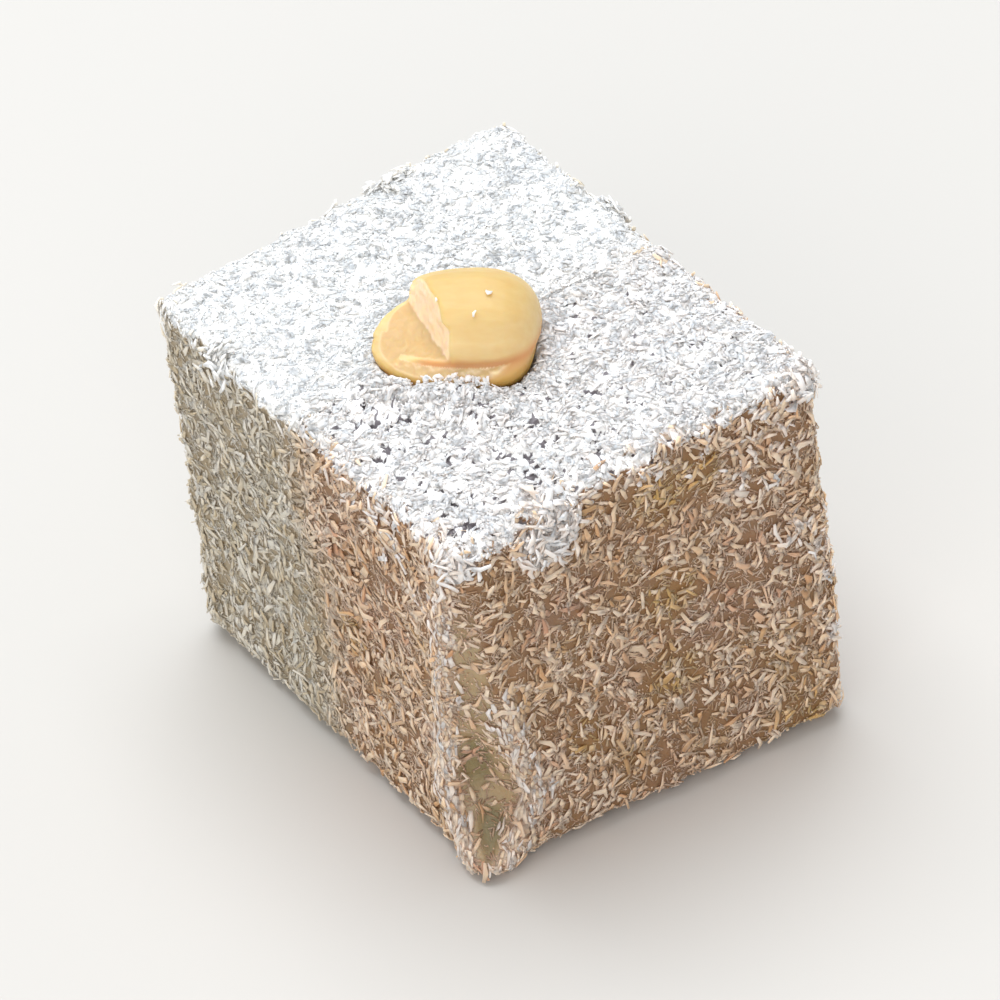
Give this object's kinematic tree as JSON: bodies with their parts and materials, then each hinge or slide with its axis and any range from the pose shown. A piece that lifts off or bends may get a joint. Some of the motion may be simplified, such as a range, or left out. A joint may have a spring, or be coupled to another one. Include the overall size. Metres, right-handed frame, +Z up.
{
  "type": "turkish delight cube",
  "caption": "Soft cut sweet, amber and milky white layers pressed side by side, rolled in fine coconut, with a broken hazelnut kernel pressed into the top.",
  "frame": {"origin": "middle of the base that the sweet rests on, measured over its coat", "axes": "+Z up; X along the seam between the layers; Y across it, from the amber layer at -Y to the white layer at +Y"},
  "size_m": [0.031, 0.0376, 0.0344],
  "materials": {
    "amber_lokum": "soft translucent amber jelly under a fuzzy coat of fine white coconut",
    "white_lokum": "soft milky white jelly under a fuzzy coat of fine white coconut",
    "hazelnut": "pale golden blanched kernel with a slight oily gloss and a rough broken face"
  },
  "bodies": {
    "root": {"amber_layer": "amber_lokum", "white_layer": "white_lokum", "hazelnut": "hazelnut"}
  },
  "joints": []
}
